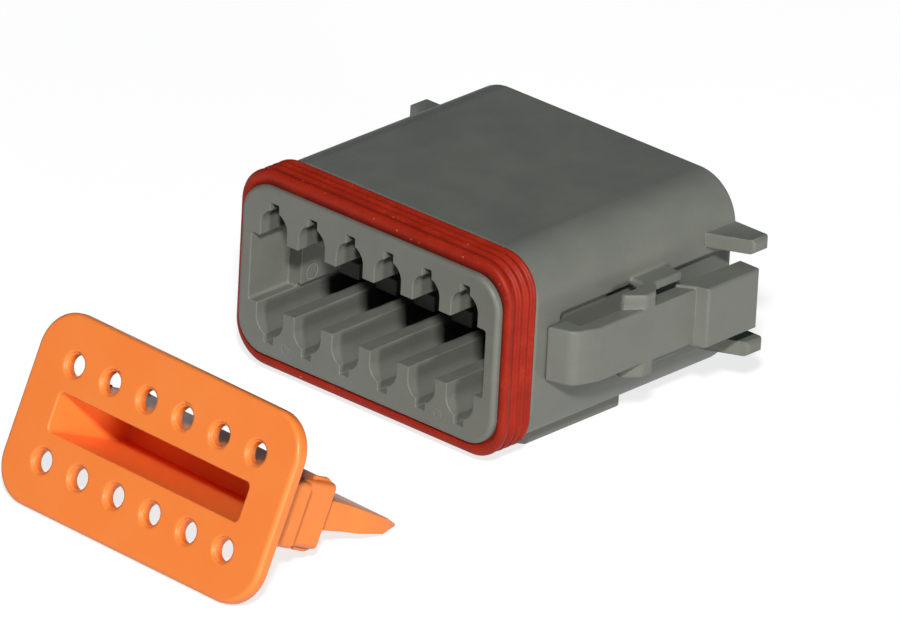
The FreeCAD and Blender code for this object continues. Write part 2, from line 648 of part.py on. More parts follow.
def build_latch(doc, s, label, side):
    """A latch: lever with its hook in front, its web and its thumb pad behind."""
    piece = Piece(doc, label)

    outline = piece.sketch("lever_outline", "XY_Plane", 0)
    hook_tip = s.shell_side + s.hook_clear
    ramp_end = s.hook_front + s.hook_ramp
    polygon(outline, [(x * side, y) for x, y in [
        (hook_tip, s.hook_front),
        (s.lever_outer - s.hook_nose_drop, ramp_end),
        (s.lever_outer, ramp_end + s.hook_slope),
        (s.lever_outer, s.pad_front + s.pad_step),
        (s.lever_inner, s.pad_front + s.pad_step),
        (s.lever_inner, s.hook_front + s.hook_length),
        (hook_tip, s.hook_front + s.hook_length),
    ]])
    height = (s.bracket_inner - s.lever_side_gap) * 2
    piece.pad("lever", outline, height, both=True)
    nose_x = s.lever_outer.value - s.hook_nose_drop.value
    piece.fillet("hook_round", lambda p: abs(abs(p.x) - nose_x) < 1e-4
                 and abs(p.y - ramp_end.value) < 1e-4, s.hook_round)

    # thumb pad, stepped up from the lever
    outline = piece.sketch("pad_outline", "XY_Plane", 0)
    polygon(outline, [(x * side, y) for x, y in [
        (s.lever_inner, s.pad_front - s.pad_overlap),
        (s.lever_outer, s.pad_front),
        (s.pad_outer, s.pad_front + s.pad_step),
        (s.pad_outer, s.pad_end),
        (s.pad_inner, s.pad_end),
        (s.pad_inner, s.pad_front + s.pad_step),
    ]])
    piece.pad("pad", outline, s.recess_height - s.pad_side_gap * 2, both=True)
    face = s.pad_outer.value
    piece.fillet("pad_edges", lambda p: abs(abs(p.x) - face) < 1e-4, s.pad_edge)

    # web that the lever rocks on, flush with the brackets' noses
    outline = piece.sketch("web_outline", "XY_Plane", 0)
    polygon(outline, [(x * side, y) for x, y in [
        (s.web_inner, s.web_front),
        (s.web_lip, s.web_front),
        (s.lever_outer, s.web_front + s.web_bevel),
        (s.lever_outer, s.web_rear),
        (s.web_inner, s.web_rear),
    ]])
    piece.pad("web", outline, (s.bracket_inner - s.bracket_gap) * 2, both=True)
    return piece.body


def build_interface_seal(doc, s):
    """The interface seal: a ring round the nose with a front band and ribs behind it."""
    piece = Piece(doc, "interface_seal")
    bore_width = s.nose_width + s.seal_gap * 2
    bore_height = s.nose_height + s.seal_gap * 2
    bore_corner = s.nose_corner + s.seal_gap

    outline = piece.sketch("core_outline", "XZ_Plane", s.seal_front)
    core_corner = s.seal_corner - s.seal_groove
    rounded_rectangle(outline, s.seal_width - s.seal_groove * 2, s.seal_height - s.seal_groove * 2,
                      core_corner)
    piece.pad("core", outline, s.seal_rear - s.seal_front, backwards=True)
    outline = piece.sketch("band_outline", "XZ_Plane", s.seal_front)
    rounded_rectangle(outline, s.seal_width, s.seal_height, s.seal_corner)
    piece.pad("band", outline, s.seal_band, backwards=True)

    first = s.seal_front + s.seal_band + s.seal_rib_pitch - s.seal_rib_width
    outline = piece.sketch("rib_outline", "XZ_Plane", first)
    rounded_rectangle(outline, s.seal_width, s.seal_height, s.seal_corner)
    rib = piece.pad("rib", outline, s.seal_rib_width, backwards=True)
    piece.row("ribs", [rib], "Y_Axis", s.seal_rib_pitch * (s.seal_ribs - 1), s.seal_ribs)
    piece.chamfer("rib_edges", lambda p: on_outline(p, s.seal_width, s.seal_height, s.seal_corner),
                  s.seal_edge)

    outline = piece.sketch("bore_outline", "XZ_Plane", s.seal_front)
    rounded_rectangle(outline, bore_width, bore_height, bore_corner)
    piece.pocket("bore", outline, s.nose_length)
    return piece.body


def on_outline(point, width, height, radius):
    """Whether a point lies on a rounded rectangle round the Y axis."""
    dx = abs(point.x) - (width.value / 2 - radius.value)
    dz = abs(point.z) - (height.value / 2 - radius.value)
    if dx > 0 and dz > 0:
        return abs(math.hypot(dx, dz) - radius.value) < 1e-4
    return abs(max(dx, dz) - radius.value) < 1e-4


def build_wire_seal(doc, s):
    """The wire seal: a ribbed block in the seal chamber with one hole for each wire."""
    piece = Piece(doc, "wire_seal")
    front = s.chamber_front + s.wire_seal_gap
    length = s.body_length - s.wire_seal_recess - front
    width = s.chamber_width - s.wire_seal_gap * 2
    height = s.chamber_height - s.wire_seal_gap * 2
    corner = s.chamber_corner - s.wire_seal_gap

    outline = piece.sketch("core_outline", "XZ_Plane", front)
    rounded_rectangle(outline, width - s.wire_seal_rib * 2, height - s.wire_seal_rib * 2,
                      corner - s.wire_seal_rib)
    piece.pad("core", outline, length, backwards=True)
    outline = piece.sketch("rib_outline", "XZ_Plane", front + s.wire_seal_front_margin)
    rounded_rectangle(outline, width, height, corner)
    rib = piece.pad("rib", outline, s.wire_seal_rib_width, backwards=True)
    margins = s.wire_seal_front_margin + s.wire_seal_rear_margin
    piece.row("ribs", [rib], "Y_Axis", length - margins - s.wire_seal_rib_width, s.wire_seal_ribs)

    outline = piece.sketch("hole_outline", "XZ_Plane", front)
    circle(outline, s.first_cavity, s.row_height, s.wire_hole)
    circle(outline, s.first_cavity, -s.row_height, s.wire_hole)
    hole = piece.pocket("hole", outline, s.chamber_depth)
    piece.row("holes", [hole], "X_Axis", s.row_length, s.cavities_per_row)
    return piece.body


def build_wedge_lock(doc, s):
    """The wedge lock: a plate with pin holes and a hollow tongue that ends in a blade."""
    piece = Piece(doc, "wedge_lock")

    outline = piece.sketch("plate_outline", "XZ_Plane", 0)
    rounded_rectangle(outline, s.plate_width, s.plate_height, s.plate_corner)
    piece.pad("plate", outline, s.plate_thick, backwards=True)
    piece.chamfer("plate_edge", on_level("y", 0.0), s.plate_edge)

    start = s.plate_thick / 2
    outline = piece.sketch("base_outline", "XZ_Plane", start)
    rounded_rectangle(outline, s.tongue_width, s.tongue_height, s.tongue_corner)
    piece.pad("base", outline, s.tongue_base - start, backwards=True)
    outline = piece.sketch("shoulder_outline", "XZ_Plane", start)
    rounded_rectangle(outline, s.shoulder_width, s.tongue_height, s.tongue_corner)
    piece.pad("shoulder", outline, s.tongue_shoulder - start, backwards=True)

    # blade: its section along the tongue, then its plan cut to shape
    outline = piece.sketch("blade_outline", "YZ_Plane", 0)
    stations = [
        (s.tongue_shoulder - s.root_bite, s.blade_start_thick / 2),
        (s.blade_flare_front, s.blade_mid_thick / 2),
        (s.blade_taper_front, s.blade_taper_thick / 2),
        (s.blade_tip, s.blade_tip_thick / 2),
    ]
    polygon(outline, [(y, -z) for y, z in stations] + [(y, z) for y, z in reversed(stations)])
    piece.pad("blade", outline, s.flare_half * 2, both=True)
    outline = piece.sketch("blade_plan", "XY_Plane", 0)
    outer = s.flare_half + s.root_bite
    beyond = s.blade_tip + s.root_bite
    for side in (1, -1):
        polygon(outline, [(x * side, y) for x, y in [
            (s.blade_half, s.tongue_shoulder),
            (outer, s.tongue_shoulder),
            (outer, beyond),
            (s.tip_half, beyond),
            (s.tip_half, s.blade_tip),
            (s.flare_half, s.blade_taper_front),
            (s.flare_half, s.blade_flare_back),
            (s.blade_half, s.blade_flare_front),
        ]])
    piece.pocket("blade_sides", outline, s.blade_start_thick * 2, both=True)

    # ears on the shoulder that click behind the end teeth
    ears = []
    for name, side in (("top", 1), ("bottom", -1)):
        outline = piece.sketch("ear_outline_" + name, "YZ_Plane",
                               s.shoulder_width / 2 - s.tongue_corner - s.ear_width)
        rear = s.tongue_shoulder - s.ear_setback
        face = s.tongue_height / 2
        polygon(outline, [
            (rear - s.ear_length, (face - s.root_bite) * side),
            (rear - s.ear_length, (face + s.ear_rise) * side),
            (rear - s.ear_slope, (face + s.ear_rise) * side),
            (rear, face * side),
            (rear, (face - s.root_bite) * side),
        ])
        ears.append(piece.pad("ear_" + name, outline, s.ear_width))
    piece.mirror("ears", ears, "YZ_Plane")

    # hollow, open at the plate
    mouth = piece.sketch("hollow_mouth", "XZ_Plane", 0)
    rounded_rectangle(mouth, s.tongue_width - s.hollow_side_wall * 2,
                      s.tongue_height - s.hollow_face_wall * 2, s.hollow_corner)
    end = piece.sketch("hollow_end", "XZ_Plane", s.tongue_shoulder - s.hollow_floor)
    rounded_rectangle(end, s.shoulder_width - s.hollow_end_side_wall * 2,
                      s.tongue_height - s.hollow_end_face_wall * 2, s.hollow_corner)
    before = piece.body.Shape.Volume
    hollow = piece.feature("SubtractiveLoft", "hollow")
    hollow.Profile = (mouth, [""])
    hollow.Sections = [(end, [""])]
    doc.recompute()
    if not piece.body.Shape.Volume < before:
        raise RuntimeError("the hollow cuts nothing")

    # pin holes, each with a lead-in on the plate's front
    outline = piece.sketch("pin_hole_outline", "XZ_Plane", 0)
    circle(outline, s.first_cavity, s.row_height, s.pin_hole)
    circle(outline, s.first_cavity, -s.row_height, s.pin_hole)
    hole = piece.pocket("pin_hole", outline, s.plate_thick)
    piece.row("pin_holes", [hole], "X_Axis", s.row_length, s.cavities_per_row)
    inner = s.tongue_height.value / 2
    level = s.row_height.value + s.pin_hole.value / 2 + 1e-3
    piece.chamfer("pin_hole_funnels", lambda p: abs(p.y) < 1e-4 and inner < abs(p.z) < level,
                  s.pin_hole_funnel)
    lay_down(piece.body, s)
    return piece.body


def lay_down(body, s):
    """Lays the wedge lock down on its plate's lower edge and its tip, as it comes to rest."""
    tip_z = -s.blade_tip_thick / 2
    run = s.blade_tip - s.plate_thick
    rise = tip_z + s.plate_height / 2
    tilt = "atan2(%s; %s)" % (rise.text, run.text)
    drop = "(%s * sin(%s) - %s * cos(%s))" % (s.blade_tip.text, tilt, tip_z.text, tilt)
    height = "(%s - %s)" % (drop, s.rail_foot.text)
    base = "vector(%s; -1 * %s; %s)" % (s.wedge_x.text, s.wedge_distance.text, height)
    turn = "rotation(%s; 0; -1 * %s)" % (s.wedge_yaw.text, tilt)
    body.setExpression("Placement", "placement(%s; %s)" % (base, turn))


def main():
    """Builds every sub-part, checks it and writes it to parts."""
    doc = FreeCAD.newDocument("sealed_plug")
    s = Sizes(doc)
    derive_layout(s)
    doc.recompute()
    bodies = [
        build_housing(doc, s),
        build_latch(doc, s, "latch_right", 1),
        build_latch(doc, s, "latch_left", -1),
        build_interface_seal(doc, s),
        build_wire_seal(doc, s),
        build_wedge_lock(doc, s),
    ]
    doc.recompute()
    for item in doc.Objects:
        if "Invalid" in item.State or "Error" in item.State:
            raise RuntimeError("%s is in error" % item.Name)
    os.makedirs("parts", exist_ok=True)
    for body in bodies:
        shape = body.Shape
        if shape.isNull() or not shape.isValid() or len(shape.Solids) != 1:
            raise RuntimeError("%s is not one valid solid" % body.Label)
        shape.exportStep("parts/%s.step" % body.Label)
        box = shape.BoundBox
        print("%-16s %8.1f mm3  X %.2f..%.2f  Y %.2f..%.2f  Z %.2f..%.2f" % (
            body.Label, shape.Volume, box.XMin, box.XMax, box.YMin, box.YMax, box.ZMin, box.ZMax))


main()
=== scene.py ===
"""Dresses a sealed automotive plug and its loose wedge lock for a studio picture.

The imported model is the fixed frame.  A copy of each moulded node gets rounded edges
and stands for it, the interface seal is swept anew with soft crests, and lips are
added round the wire seal's holes.  Every surface has a procedural finish.  Lengths
in the classes are in millimetres and angles in degrees.
"""
import logging
import math
from dataclasses import dataclass, field
from enum import Enum
from typing import Callable, Mapping, Sequence, Union

import bmesh
import bpy
from mathutils import Matrix, Vector
from mathutils.bvhtree import BVHTree


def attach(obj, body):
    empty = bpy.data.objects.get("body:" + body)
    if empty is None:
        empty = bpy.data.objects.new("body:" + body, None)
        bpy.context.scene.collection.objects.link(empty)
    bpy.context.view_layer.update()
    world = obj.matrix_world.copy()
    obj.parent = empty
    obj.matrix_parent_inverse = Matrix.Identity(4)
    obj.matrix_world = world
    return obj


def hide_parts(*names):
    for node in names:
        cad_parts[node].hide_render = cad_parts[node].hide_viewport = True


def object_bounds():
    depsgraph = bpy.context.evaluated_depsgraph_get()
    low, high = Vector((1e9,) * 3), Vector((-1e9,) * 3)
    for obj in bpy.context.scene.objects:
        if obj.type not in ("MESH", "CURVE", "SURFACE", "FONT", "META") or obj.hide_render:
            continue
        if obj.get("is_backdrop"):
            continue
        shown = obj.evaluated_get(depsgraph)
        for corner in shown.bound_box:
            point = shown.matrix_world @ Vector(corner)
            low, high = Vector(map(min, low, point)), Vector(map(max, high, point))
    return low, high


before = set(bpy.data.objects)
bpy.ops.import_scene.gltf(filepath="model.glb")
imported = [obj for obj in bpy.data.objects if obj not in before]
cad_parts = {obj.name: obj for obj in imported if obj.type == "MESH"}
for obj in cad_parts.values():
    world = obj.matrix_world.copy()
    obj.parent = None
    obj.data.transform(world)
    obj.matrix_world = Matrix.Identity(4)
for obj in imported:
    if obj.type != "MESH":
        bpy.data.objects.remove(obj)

MM = 0.001
MEAN = 0.5  # of a noise pattern
WHITE = (1.0, 1.0, 1.0, 1.0)
WEIGHT_LAYER = "bevel_weight_edge"
ANY_TURN = -2.0  # less than every cosine, so no face counts as turned over
NO_LIMIT = math.inf
Colour = tuple[float, float, float]
Place = tuple[float, float, float]
Range = tuple[float, float]
Shares = tuple[float, ...]
Profile = tuple[tuple[float, float], ...]
log = logging.getLogger("plug")


class Body(Enum):
    """The bodies that pieces ride on."""

    PLUG = "plug"
    LATCH_RIGHT = "latch_right"
    LATCH_LEFT = "latch_left"
    WEDGE_LOCK = "wedge_lock"


class Axis(Enum):
    """The direction that a moulded mark faces, as the part of a vector across it."""

    X = (0.0, 1.0, 1.0)
    Y = (1.0, 0.0, 1.0)


class Mix(Enum):
    """What a Mix node mixes, with the places of its two ends and of its result."""

    COLOUR = ("RGBA", 6, 7, 2)
    DIRECTION = ("VECTOR", 4, 5, 1)


class Value:
    """A socket's output in a node tree; arithmetic on it adds Math nodes."""

    def __init__(self, bench: "Bench", socket: bpy.types.NodeSocket) -> None:
        """Args: bench: the tree's builder. socket: the output that is wrapped."""
        self.bench = bench
        self.socket = socket

    def _math(self, operation: str, *terms: "Term") -> "Value":
        """Adds a Math node.

        Args:
            operation: the node's operation.
            terms: its inputs in order.
        Returns:
            The node's result.
        """
        return self.bench.node("ShaderNodeMath", {"operation": operation},
                               dict(enumerate(terms)))

    def __add__(self, other: "Term") -> "Value":
        """Returns: self + other."""
        return self._math("ADD", self, other)

    def __radd__(self, other: "Term") -> "Value":
        """Returns: other + self."""
        return self._math("ADD", other, self)

    def __sub__(self, other: "Term") -> "Value":
        """Returns: self - other."""
        return self._math("SUBTRACT", self, other)

    def __rsub__(self, other: "Term") -> "Value":
        """Returns: other - self."""
        return self._math("SUBTRACT", other, self)

    def __mul__(self, other: "Term") -> "Value":
        """Returns: self * other."""
        return self._math("MULTIPLY", self, other)

    def __rmul__(self, other: "Term") -> "Value":
        """Returns: other * self."""
        return self._math("MULTIPLY", other, self)

    def __abs__(self) -> "Value":
        """Returns: self without its sign."""
        return self._math("ABSOLUTE", self)

    def rise(self, start: float, end: float) -> "Value":
        """A smooth step.

        Args:
            start: the value up to which the result is 0.
            end: the value from which it is 1; it may be under start, and the step then falls.
        Returns:
            The step's height.
        """
        low, high = min(start, end), max(start, end)
        target = (0.0, 1.0) if start < end else (1.0, 0.0)
        return self.bench.node("ShaderNodeMapRange", {"interpolation_type": "SMOOTHSTEP"},
                               {0: self, 1: low, 2: high, 3: target[0], 4: target[1]})


Term = Union[Value, float]


@dataclass(frozen=True)
class Clouds:
    """A noise pattern: the width of one cloud, and its finer octaves."""

    size: float
    detail: float = 2.0
    roughness: float = 0.5


@dataclass(frozen=True)
class Specks:
    """Scattered round specks: mean spacing, radius, share of places taken and strength."""

    spacing: float
    radius: float
    share: float
    strength: float
    rim: float = 0.4
    blur: float = 0.02


class Bench:
    """Builds the node tree of one material.

    The edge turn gives the cosines between true and rounded normal at which the mask
    of soft_edges starts and is full.
    """

    bevel_samples: int = 6
    edge_turn: Range = (0.995, 0.90)

    def __init__(self, name: str) -> None:
        """Args: name: the material's name."""
        self.material = bpy.data.materials.new(name)
        self.material.use_nodes = True
        self.tree = self.material.node_tree
        self.tree.nodes.clear()

    def node(self, kind: str, settings: Mapping[str, object] | None = None,
             sockets: Mapping[int | str, object] | None = None, output: int | str = 0) -> Value:
        """Adds a node.

        Args:
            kind: the node's type.
            settings: its properties, set first.
            sockets: values or links of its inputs, by index or name.
            output: the output that is returned.
        Returns:
            That output.
        """
        item = self.tree.nodes.new(kind)
        for key, value in (settings or {}).items():
            setattr(item, key, value)
        for key, value in (sockets or {}).items():
            if isinstance(value, Value):
                self.tree.links.new(value.socket, item.inputs[key])
            else:
                item.inputs[key].default_value = value
        return Value(self, item.outputs[output])

    def place(self) -> Value:
        """Returns: the piece's own coordinates, in metres."""
        return self.node("ShaderNodeTexCoord", output="Object")

    def vector(self, operation: str, *terms: object, output: int | str = 0) -> Value:
        """Adds a vector Math node.

        Args:
            operation: the node's operation.
            terms: its inputs in order.
            output: the output that is returned.
        Returns:
            That output.
        """
        return self.node("ShaderNodeVectorMath", {"operation": operation},
                         dict(enumerate(terms)), output)

    def noise(self, place: Value, clouds: Clouds) -> Value:
        """Adds a cloudy pattern.

        Args:
            place: the coordinates.
            clouds: the pattern's measures.
        Returns:
            A value from 0 to 1, mostly near 0.5.
        """
        return self.node("ShaderNodeTexNoise", {}, {
            "Vector": place, "Scale": 1.0 / (clouds.size * MM),
            "Detail": clouds.detail, "Roughness": clouds.roughness})

    def stretched(self, place: Value, scale: Place) -> Value:
        """Returns: place scaled along each axis, for drawn-out patterns."""
        return self.node("ShaderNodeMapping", {}, {"Vector": place, "Scale": scale})

    def specks(self, place: Value, specks: Specks) -> Value:
        """Scatters small round specks.

        Args:
            place: the coordinates.
            specks: the pattern's measures.
        Returns:
            The specks' strength on a speck, and 0 off it.
        """
        cells = {"Vector": place, "Scale": 1.0 / (specks.spacing * MM)}
        near = self.node("ShaderNodeTexVoronoi", {}, cells, "Distance")
        tint = self.node("ShaderNodeTexVoronoi", {}, cells, "Color")
        pick = self.node("ShaderNodeSeparateColor", {}, {0: tint}, "Red")
        reach, least = specks.radius / specks.spacing, 1.0 - specks.share
        chosen = pick.rise(least - specks.blur, least + specks.blur)
        return near.rise(reach, reach * specks.rim) * chosen * specks.strength

    def blend(self, amount: Term, first: object, second: object) -> Value:
        """Mixes two colours.

        Args:
            amount: share of the second.
            first: a colour or a link.
            second: a colour or a link.
        Returns:
            The mixed colour.
        """
        ends = [(*end, 1.0) if isinstance(end, tuple) else end for end in (first, second)]
        return self.mix(Mix.COLOUR, amount, *ends)

    def mix(self, kind: Mix, amount: Term, first: object, second: object) -> Value:
        """Adds a Mix node.

        Args:
            kind: what it mixes.
            amount: share of the second.
            first: a value or a link.
            second: a value or a link.
        Returns:
            The mixed result.
        """
        data_type, start, end, result = kind.value
        return self.node("ShaderNodeMix", {"data_type": data_type},
                         {0: amount, start: first, end: second}, result)

    def soft_edges(self, radius: float) -> tuple[Value, Value]:
        """Rounds the shading over a piece's edges.

        Args:
            radius: the edge radius, in millimetres.
        Returns:
            The rounded normal, and a mask that is 1 on the edges.
        """
        rounded = self.node("ShaderNodeBevel", {"samples": self.bevel_samples},
                            {"Radius": radius * MM})
        true = self.node("ShaderNodeNewGeometry", output="True Normal")
        along = self.vector("DOT_PRODUCT", rounded, true, output="Value")
        return rounded, along.rise(*self.edge_turn)

    def relief(self, height: Value, depth: float, normal: Value, strength: float) -> Value:
        """Adds a bump.

        Args:
            height: the relief, 0 to 1.
            depth: what 1 stands for, in millimetres.
            normal: the normal that it starts from.
            strength: how much of it is used.
        Returns:
            The bumped normal.
        """
        return self.node("ShaderNodeBump", {}, {
            "Height": height, "Distance": depth * MM, "Strength": strength, "Normal": normal})

    def opaque(self, base: Value, gloss: Value, normal: Value, ior: float,
               specular: float) -> bpy.types.Material:
        """Ends the tree in a plain surface.

        Args:
            base: its colour.
            gloss: its roughness.
            normal: its normal.
            ior: its refractive index.
            specular: the strength of its reflection.
        Returns:
            The material.
        """
        return self.finish(self.node("ShaderNodeBsdfPrincipled", {}, {
            "Base Color": base, "Roughness": gloss, "Normal": normal, "IOR": ior,
            "Specular IOR Level": specular}))

    def finish(self, surface: Value) -> bpy.types.Material:
        """Returns: the material, with this surface as its result."""
        result = self.tree.nodes.new("ShaderNodeOutputMaterial")
        self.tree.links.new(surface.socket, result.inputs["Surface"])
        return self.material


@dataclass(frozen=True)
class MouldedMark:
    """A round mark that an ejector pin or a gate left in the moulded face: a ring in relief,
    lightened with a painted highlight.
    """

    centre: Place
    axis: Axis
    radius: float
    line: float = 0.07
    depth_range: float = 0.35
    fade: float = 0.8
    relief: float = 0.05
    relief_strength: float = 0.8
    # share of the lighter colour painted on the ring as a highlight
    tint: float = 0.6

    def mask(self, bench: Bench, place: Value) -> Value:
        """Draws the mark's outline.

        Args:
            bench: the tree's builder.
            place: the coordinates.
        Returns:
            1 on the ring, and 0 off it.
        """
        away = bench.vector("SUBTRACT", place, tuple(part * MM for part in self.centre))
        across = bench.vector("MULTIPLY", away, self.axis.value)
        along = bench.vector("MULTIPLY", away, tuple(1.0 - part for part in self.axis.value))
        radius = bench.vector("LENGTH", across, output="Value")
        height = bench.vector("LENGTH", along, output="Value")
        ring = abs(radius - self.radius * MM).rise(self.line * MM, 0.0)
        depth = self.depth_range * MM
        return ring * height.rise(depth, depth * self.fade)


@dataclass(frozen=True)
class WebSeam:
    """Where a latch's web runs into its bracket, both of one moulding."""

    level: float = 2.98
    half_height: float = 0.3
    side: float = 14.9
    start: float = 12.0
    end: float = 15.6
    fade: float = 0.7
    blur: float = 0.1

    def mask(self, bench: Bench, place: Value) -> Value:
        """Marks the strips where the webs' ends lie.

        Args:
            bench: the tree's builder.
            place: the coordinates.
        Returns:
            1 at the seam, and 0 away from it.
        """
        x, y, z = (bench.node("ShaderNodeSeparateXYZ", {}, {0: place}, axis) for axis in "XYZ")
        half = self.half_height * MM
        beside = abs(abs(z) - self.level * MM).rise(half, half * self.fade)
        behind = y.rise((self.start - self.blur) * MM, self.start * MM)
        before = y.rise((self.end + self.blur) * MM, self.end * MM)
        outside = abs(x).rise((self.side - self.blur) * MM, self.side * MM)
        return beside * behind * before * outside


@dataclass(frozen=True)
class MouldedPlastic:
    """Injection-moulded plastic with a fine grain, cloudy tone, dust, and edges lightened
    partly as scuffed wear and partly as a painted highlight.

    The tone's shares are those of clouds, flow and grain; the gloss's are those of
    clouds, grain and edges.
    """

    name: str
    colour: Colour
    cloud: Colour
    # lighter colour: scuffed wear on edges, and a painted highlight on edges and on mark rings
    rubbed_and_highlight: Colour
    dust: Colour
    roughness: float
    edge_radius: float
    edge_wear_and_highlight: float
    specks: Specks
    marks: tuple[MouldedMark, ...]
    seam: WebSeam | None = None
    clouds: Clouds = Clouds(5.0, detail=3.0, roughness=0.6)
    flow: Clouds = Clouds(1.1, detail=3.0, roughness=0.55)
    flow_stretch: Place = (1.0, 0.22, 1.0)
    grain: Clouds = Clouds(0.16, detail=2.0, roughness=0.6)
    grain_depth: float = 0.006
    grain_strength: float = 0.55
    tone_shares: Shares = (0.9, 0.3, 0.5)
    tone_range: Range = (0.1, 0.9)
    wear_and_highlight_range: Range = (0.35, 0.62)
    gloss_shares: Shares = (0.22, 0.16, 0.06)
    ior: float = 1.48
    specular: float = 0.45

    def make(self) -> bpy.types.Material:
        """Mixes the plastic's tone, edge wear with a painted edge highlight, dust, gloss and
        relief, and lightens each mark's ring as a painted highlight.

        Returns:
            The material.
        """
        bench = Bench(self.name)
        place = bench.place()
        normal, edge = bench.soft_edges(self.edge_radius)
        if self.seam is not None:
            still = self.seam.mask(bench, place)
            plain = bench.node("ShaderNodeNewGeometry", output="Normal")
            normal = bench.mix(Mix.DIRECTION, still, normal, plain)
            edge = edge * (1.0 - still)
        clouds = bench.noise(place, self.clouds) - MEAN
        flow = bench.noise(bench.stretched(place, self.flow_stretch), self.flow)
        grain = bench.noise(place, self.grain)
        cloudy, flowing, grainy = self.tone_shares
        tone = clouds * cloudy + (flow - MEAN) * flowing + (grain - MEAN) * grainy + MEAN
        base = bench.blend(tone.rise(*self.tone_range), self.colour, self.cloud)
        # Edges blend toward the lighter colour: partly scuffed wear, partly a painted highlight
        # along the rounding.
        worn_and_highlit = edge * flow.rise(*self.wear_and_highlight_range) * self.edge_wear_and_highlight
        base = bench.blend(worn_and_highlit, base, self.rubbed_and_highlight)
        base = bench.blend(bench.specks(place, self.specks), base, self.dust)
        cloudy, grainy, edged = self.gloss_shares
        gloss = clouds * cloudy + (grain - MEAN) * grainy + self.roughness - edge * edged
        normal = bench.relief(grain, self.grain_depth, normal, self.grain_strength)
        for mark in self.marks:
            ring = mark.mask(bench, place)
            normal = bench.relief(1.0 - ring, mark.relief, normal, mark.relief_strength)
            # The ring is lightened as a painted highlight; the relief above is the real mark.
            base = bench.blend(ring * mark.tint, base, self.rubbed_and_highlight)
        return bench.opaque(base, gloss, normal, self.ior, self.specular)


@dataclass(frozen=True)
class SiliconeRubber:
    """Matt silicone rubber with scattered dust.

    All shares are those of clouds and skin, in that order.
    """

    name: str
    colour: Colour
    deep: Colour
    dust: Colour
    roughness: float
    edge_radius: float = 0.12
    clouds: Clouds = Clouds(2.4, detail=3.0, roughness=0.6)
    skin: Clouds = Clouds(0.22, detail=3.0, roughness=0.6)
    fine: Specks = Specks(0.8, 0.10, share=0.30, strength=0.6)
    coarse: Specks = Specks(1.7, 0.17, share=0.30, strength=0.8)
    tone_shares: Shares = (0.6, 0.4)
    tone_range: Range = (0.25, 0.75)
    film_clouds: Range = (0.55, 0.8)
    film_skin: Range = (0.45, 0.7)
    film_share: float = 0.10
    gloss_shares: Shares = (0.15, 0.25)
    relief_shares: Shares = (0.3, 0.7)
    relief_depth: float = 0.012
    relief_strength: float = 0.6
    ior: float = 1.43
    specular: float = 0.3

    def make(self) -> bpy.types.Material:
        """Mixes the rubber's tone, dust, gloss and relief.

        Returns:
            The material.
        """
        bench = Bench(self.name)
        place = bench.place()
        normal, _ = bench.soft_edges(self.edge_radius)
        clouds = bench.noise(place, self.clouds)
        skin = bench.noise(place, self.skin)
        tone = clouds * self.tone_shares[0] + skin * self.tone_shares[1]
        base = bench.blend(tone.rise(*self.tone_range), self.deep, self.colour)
        film = clouds.rise(*self.film_clouds) * skin.rise(*self.film_skin)
        base = bench.blend(film * self.film_share, base, self.dust)
        for specks in (self.fine, self.coarse):
            base = bench.blend(bench.specks(place, specks), base, self.dust)
        cloudy, skinny = self.gloss_shares
        gloss = (skin - MEAN) * skinny + (clouds - MEAN) * cloudy + self.roughness
        height = skin * self.relief_shares[1] + clouds * self.relief_shares[0]
        normal = bench.relief(height, self.relief_depth, normal, self.relief_strength)
        return bench.opaque(base, gloss, normal, self.ior, self.specular)


@dataclass(frozen=True)
class StudioPaper:
    """White paper that keeps a soft shadow and reads as white to the camera."""

    name: str = "studio_paper"
    bounced: Colour = (0.45, 0.45, 0.45)
    seen: Colour = (0.98, 0.98, 0.98)
    camera_share: float = 0.6
    camera_white: float = 1.31
    tooth: Clouds = Clouds(2.0)
    tooth_share: float = 0.02

    def make(self) -> bpy.types.Material:
        """Mixes paper with a share of white light.

        Returns:
            The material.
        """
        bench = Bench(self.name)
        rays = [bench.node("ShaderNodeLightPath", output=kind)
                for kind in ("Is Camera Ray", "Is Glossy Ray", "Is Transmission Ray")]
        seen = rays[0] + rays[1] + rays[2]
        tooth = bench.noise(bench.place(), self.tooth)
        tone = bench.blend(seen - tooth * self.tooth_share, self.bounced, self.seen)
        paper = bench.node("ShaderNodeBsdfDiffuse", {}, {"Color": tone})
        white = bench.node("ShaderNodeEmission", {},
                           {"Color": WHITE, "Strength": self.camera_white})
        surface = bench.node("ShaderNodeMixShader", {},
                             {0: seen * self.camera_share, 1: paper, 2: white})
        return bench.finish(surface)


GREY_PLASTIC = MouldedPlastic(
    name="grey_plastic", colour=(0.152, 0.159, 0.141), cloud=(0.190, 0.197, 0.175),
    rubbed_and_highlight=(0.31, 0.32, 0.29), dust=(0.40, 0.40, 0.37), roughness=0.50,
    edge_radius=0.12, edge_wear_and_highlight=0.32, seam=WebSeam(),
    specks=Specks(0.9, 0.05, share=0.10, strength=0.75),
    # moulded rings, each lightened with a painted highlight
    marks=(
        MouldedMark((-11.44, 5.96, -1.82), Axis.X, 0.65, line=0.09, depth_range=0.5),
        MouldedMark((8.3, 0.0, -5.9), Axis.Y, 0.42),
        MouldedMark((-8.5, 0.0, -6.0), Axis.Y, 0.42),
    ))
ORANGE_PLASTIC = MouldedPlastic(
    name="orange_plastic", colour=(1.0, 0.245, 0.047), cloud=(1.0, 0.270, 0.056),
    rubbed_and_highlight=(1.0, 0.44, 0.17), dust=(1.0, 0.62, 0.42), roughness=0.38,
    edge_radius=0.14, edge_wear_and_highlight=0.35, grain_depth=0.004,
    specks=Specks(0.9, 0.05, share=0.04, strength=0.75),
    # a moulded ring, lightened with a painted highlight
    marks=(MouldedMark((17.2, -27.9, -3.9), Axis.X, 0.8, depth_range=0.5),))
RED_SILICONE = SiliconeRubber(
    name="red_silicone", colour=(0.40, 0.022, 0.0065), deep=(0.26, 0.012, 0.0037),
    dust=(0.85, 0.36, 0.18), roughness=0.50)


